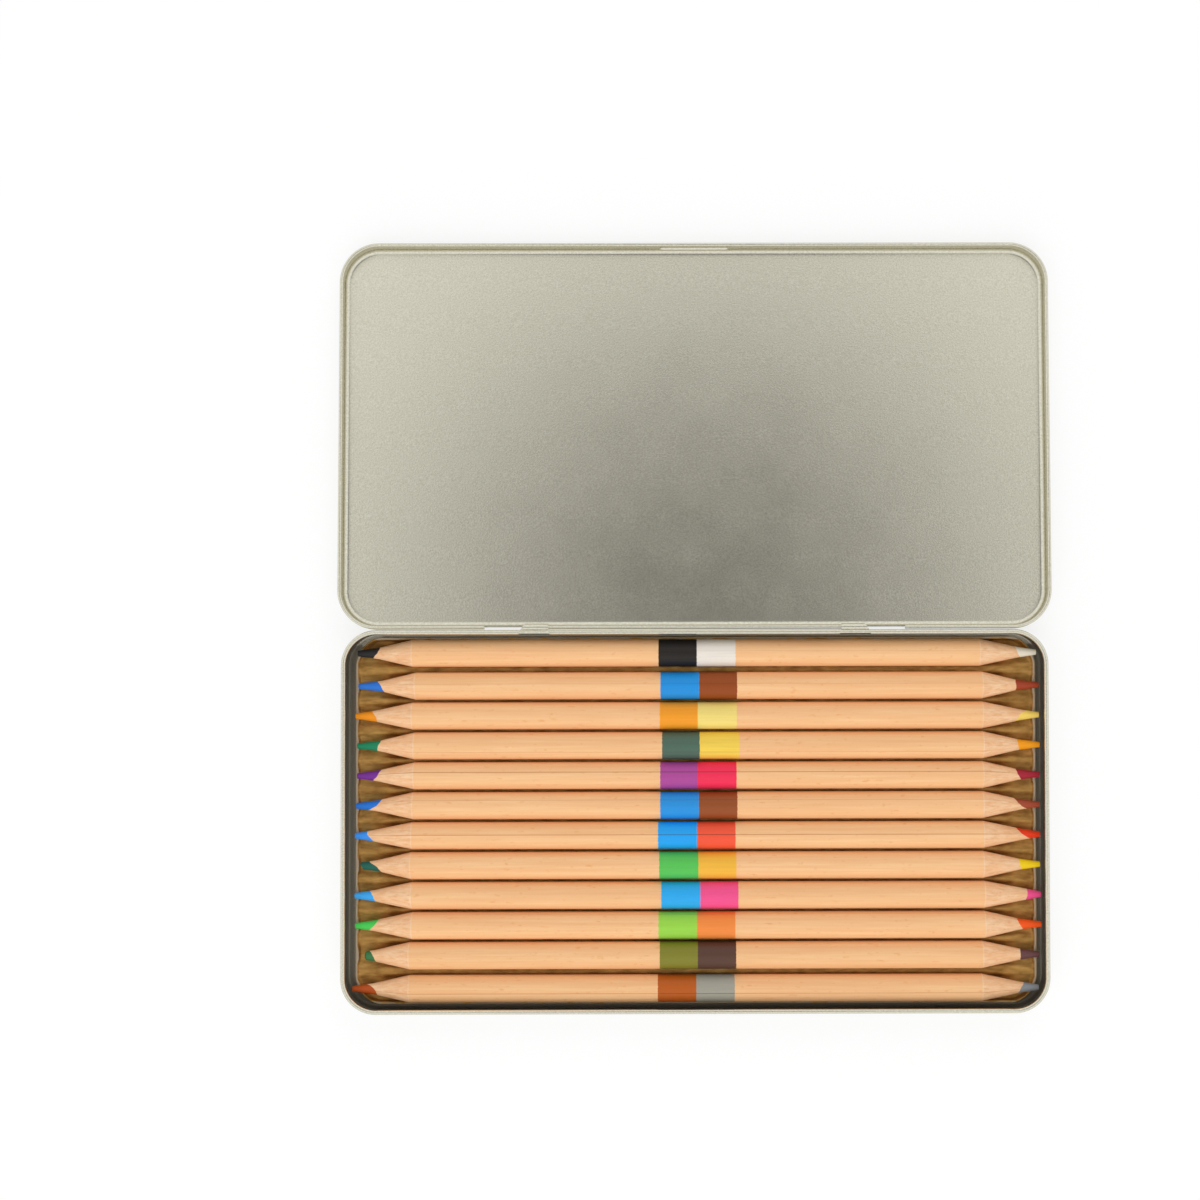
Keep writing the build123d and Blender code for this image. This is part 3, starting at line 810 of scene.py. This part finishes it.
# %% [markdown]
# ## The pencils
# Turned, dipped and sharpened alike, yet no two are the same: the lead never lies quite in the
# middle, so the cut meets it in a slanting, slightly torn line, and some points are worn. Each
# surface is a grid of angle against length. Where the lead ends and the wood begins is found from
# the place of the lead and the slope of the cut.

# %% Pencil data, from the hinge to the front, in mm
# middle, seam (degrees), left and right (reach, bare lead, worn, lead aside, lead above),
# painted band, and the colours of lead left, lead right, paint left, paint right
PENCILS = [
    (0.5, 8, (86.60, 5.2, 0.6, 0.14, 0), (87.75, 5.0, 0, 0.12, 0), (-9.3, 10.4),
     ("#242424", "#f1e8d3", "#171717", "#f5ece0")),
    (1.1, 9, (86.40, 6.1, 0, -0.14, 0), (88.40, 6.0, 0, 0, 0), (-8.8, 10.8),
     ("#2d77d8", "#a44124", "#1896e6", "#974817")),
    (0.7, 74, (87.15, 5.2, 0, -0.11, 0), (88.40, 4.9, 0, -0.24, 0.05), (-9.0, 10.7),
     ("#f79717", "#fbd868", "#fba226", "#fbe27f")),
    (1.2, -27, (86.70, 6.0, 0, 0.08, -0.05), (88.55, 5.7, 0, 0.06, 0), (-8.4, 11.3),
     ("#17865d", "#fba215", "#4e6c5d", "#fbd655")),
    (0.6, 17, (86.70, 5.4, 0, 0.17, 0), (88.45, 5.7, 0, 0.11, 0), (-8.9, 10.6),
     ("#792f98", "#a92436", "#b44b9d", "#fb2e59")),
    (1.0, 26, (87.00, 5.5, 0, 0.30, 0), (88.45, 5.4, 0, 0.28, 0), (-8.9, 10.8),
     ("#2477da", "#a84c31", "#2198e7", "#994f24")),
    (0.5, 6, (87.25, 4.5, 0, -0.15, -0.12), (88.55, 4.8, 0, 0.32, 0), (-9.5, 10.3),
     ("#3d99fa", "#ed3d17", "#17a9fb", "#fb5a3c")),
    (0.8, 82, (85.90, 4.5, 1.6, -0.26, 0), (88.45, 5.3, 0, 0.08, 0), (-9.2, 10.5),
     ("#1e6153", "#fbd615", "#59c959", "#fbbe40")),
    (1.3, -66, (87.30, 4.9, 0, -0.14, 0), (88.70, 3.8, 0, -0.03, 0), (-8.7, 11.0),
     ("#3facf7", "#f75392", "#26b0f7", "#fb5594")),
    (0.4, 58, (87.15, 5.1, 0, 0.24, 0), (88.75, 5.8, 0, 0.12, 0), (-9.4, 10.2),
     ("#4cd459", "#fb5a16", "#9ddc4c", "#fb9142")),
    (0.6, -80, (84.65, 2.4, 3.2, -0.13, 0), (88.15, 5.0, 0, 0, 0), (-9.1, 10.4),
     ("#3d7948", "#6a4545", "#85832d", "#593d33")),
    (0.2, -15, (87.85, 5.5, 0, -0.22, 0.10), (87.95, 4.8, 0, -0.14, 0), (-9.6, 10.0),
     ("#be531a", "#8e9296", "#bf5d17", "#a6a395")),
]
LEADS = ["black", "blue", "orange", "green", "violet", "blue", "azure", "pine_green", "sky_blue",
         "light_green", "olive_green", "rust"]
LEADS_RIGHT = ["white", "brown", "pale_yellow", "amber", "crimson", "brown", "vermilion", "yellow",
               "pink", "bright_orange", "umber", "grey"]
TONES = [("#facb97", "#efbb85"), ("#fccd99", "#f1bd87")]  # light and dark, of rear and front slat; the front slat's are paler as painted light
# How plainly each pencil's glued seam shows.
GLUE_LINES = [0.12, 0.22, 0.3, 0.25, 0.75, 0.3, 0.7, 0.3, 0.3, 0.3, 0.3, 0.55]

# %% Shapes that the pencils share, in mm
BARREL, LEAD, SHARPENED, POINT = 3.5, 1.4, 14.8, 0.68
EASE = 0.03  # how much lower the glued edges of a slat are
AROUND = 48  # steps round each slat
LEAD_AROUND = 64  # steps round each lead
CONE_STOPS = (0, 0.02, 0.15, 0.3, 0.45, 0.6, 0.75, 0.9, 0.96, 0.985, 1.0)  # shares of the cut wood
BARREL_STOPS = (0.05, 0.6, 4, 12, 24, 40, 56)  # mm past the cut
NOSE_STOPS = (0.12, 0.3, 0.5, 0.7, 0.85, 0.96, 1.0)  # shares of the bare lead
DOME_STOPS = ((0.0, 0.35), (0.25, 0.72), (0.6, 0.93), (1.0, 1.0))  # share of depth and of radius
DOME, BLUNT_DOME = 0.12, 0.5
CHIPPED, BLUNT = 8, 11  # the pencils whose left points are chipped obliquely and worn down short


def ragged(angles, seed, size):
    """A smooth seeded wander round the pencil, in mm."""
    luck = np.random.default_rng(seed)
    return sum(size / k * luck.normal() * np.cos(k * angles + luck.uniform(0, 2 * pi))
               for k in (2, 3, 5, 8, 13, 19))


def end_shape(end, angles, seed):
    """At each angle round one sharpened end: distances from the point, and their radii."""
    reach, nose, worn, aside, above = end
    tip = POINT + (LEAD - POINT) * worn / (nose + worn)
    shoulder = SHARPENED - worn
    towards = aside * np.cos(angles) + above * np.sin(angles)
    across = above * np.cos(angles) - aside * np.sin(angles)
    lead = towards + np.sqrt(LEAD ** 2 - across ** 2)
    bare = np.interp(lead, [tip, LEAD, BARREL], [0, nose, shoulder]) + ragged(angles, seed, 0.16)
    return {
        "reach": reach, "lead": lead, "bare": np.maximum(bare, 0.8),
        "shoulder": shoulder + ragged(angles, seed + 50, 0.05),
        "radius": lambda s: np.interp(s, [0, nose, shoulder], [tip, LEAD, BARREL]),
    }


def ring(x, radius, angles, y):
    """Points at x and radius round the pencil's axis."""
    radius = np.broadcast_to(radius, angles.shape)
    x = np.broadcast_to(x, angles.shape)
    return np.stack([x, y + radius * np.cos(angles), PENCIL_Z + radius * np.sin(angles)], axis=1)


# %% Slats and cores


def slat_grid(number, y, angles, eased, left, right):
    """The rings of one slat from end to end, and how far each one is cut."""
    rings, cut = [], []
    for side, end in ((-1, left), (1, right)):
        shape = end_shape(end, angles, number * 10 + (side > 0))
        stations = []
        for f in CONE_STOPS:
            s = shape["bare"] + f * (shape["shoulder"] - shape["bare"])
            outer = shape["radius"](s)
            inner = outer if f == 0 else np.minimum(shape["lead"], outer)
            stations.append((side * (shape["reach"] - s), outer, inner, 2 if f > 0.97 else 1))
        for further in BARREL_STOPS:
            s = shape["shoulder"] + further
            stations.append((side * (shape["reach"] - s), BARREL - eased, shape["lead"], 0))
        if side > 0:
            stations.reverse()
        for x, outer, inner, level in stations:
            rings.append(np.vstack([ring(x, outer, angles, y), ring(x, inner, angles, y)[::-1]]))
            cut.append(level)
    return rings, cut


def lead_grid(number, y, side, end, middle):
    """The rings of one lead from its point to the middle of the pencil."""
    angles = np.linspace(0, 2 * pi, LEAD_AROUND + 1)[:-1]
    shape = end_shape(end, angles, number * 10 + (side > 0))
    reach, bare, lead = shape["reach"], shape["bare"], shape["lead"]
    snapped = np.zeros_like(angles)
    if side < 0 and number == CHIPPED:
        snapped = 0.55 - 0.45 * np.cos(angles - 0.5) + ragged(angles, 81, 0.12)
    snapped = np.maximum(snapped, 0)
    dome = BLUNT_DOME if side < 0 and number == BLUNT else DOME
    rings = []
    for depth, share in DOME_STOPS:
        s = snapped + dome * depth
        rings.append(ring(side * (reach - s), shape["radius"](s) * share, angles, y))
    rings.insert(0, np.repeat(rings[0].mean(axis=0)[None], len(angles), axis=0))
    for f in NOSE_STOPS:
        s = snapped + dome + f * (bare - snapped - dome)
        rings.append(ring(side * (reach - s), shape["radius"](s), angles, y))
    rings.append(ring(side * (reach - bare - 0.1), lead, angles, y))
    rings.append(ring(middle, lead, angles, y))
    rings.append(ring(middle, 0, angles, y))
    return rings


share = np.linspace(0, 1, AROUND + 1)
share = np.concatenate([[0, 0.004, 0.012], share[1:-1], [0.988, 0.996, 1]])
glued = (share < 0.005) | (share > 0.995)
eased = np.where((share == 0) | (share == 1), EASE, 0)
for number, (middle, seam, left, right, band, colours) in enumerate(PENCILS, start=1):
    y = ROW_Y[number - 1]
    body = f"pencil_{number:02d}"
    for which, (slat, start) in enumerate((("rear", -90 - seam), ("front", 90 - seam))):
        rings, cut = slat_grid(number, y, radians(start) + pi * share, eased, left, right)
        size = 2 * len(share)
        node = f"{body}_slat_{slat}"
        mesh = bpy.data.meshes.new(node)
        mesh.from_pydata((np.vstack(rings) * MM).tolist(), [],
                         grid_faces(len(rings), size, closed=True))
        mark_points(mesh, "cut", np.repeat(cut, size))
        mark_points(mesh, "glue", np.tile(np.concatenate([glued, glued[::-1]]), len(rings)))
        finish = slat_finish(f"cedar_{number:02d}_{slat}", TONES[which],
                             (band[0], middle, band[1]), colours[2:], GLUE_LINES[number - 1],
                             number * 2 + which)
        place(f"casing_{number:02d}_{slat}", tidy_mesh(mesh, finish, 9), body, "cedar", node)
    for hand, side, end, colour, pigments in (("left", -1, left, colours[0], LEADS),
                                              ("right", 1, right, colours[1], LEADS_RIGHT)):
        rings = lead_grid(number, y, side, end, middle)
        node = f"{body}_core_{hand}"
        finish = lead_finish(f"wax_lead_{number:02d}_core_{hand}", colour)
        faces = grid_faces(len(rings), LEAD_AROUND, closed=True)
        mesh = mesh_from(node, [(np.vstack(rings), faces)], finish, 40)
        place(f"lead_{number:02d}_{hand}", mesh, body, f"lead_{pigments[number - 1]}", node)
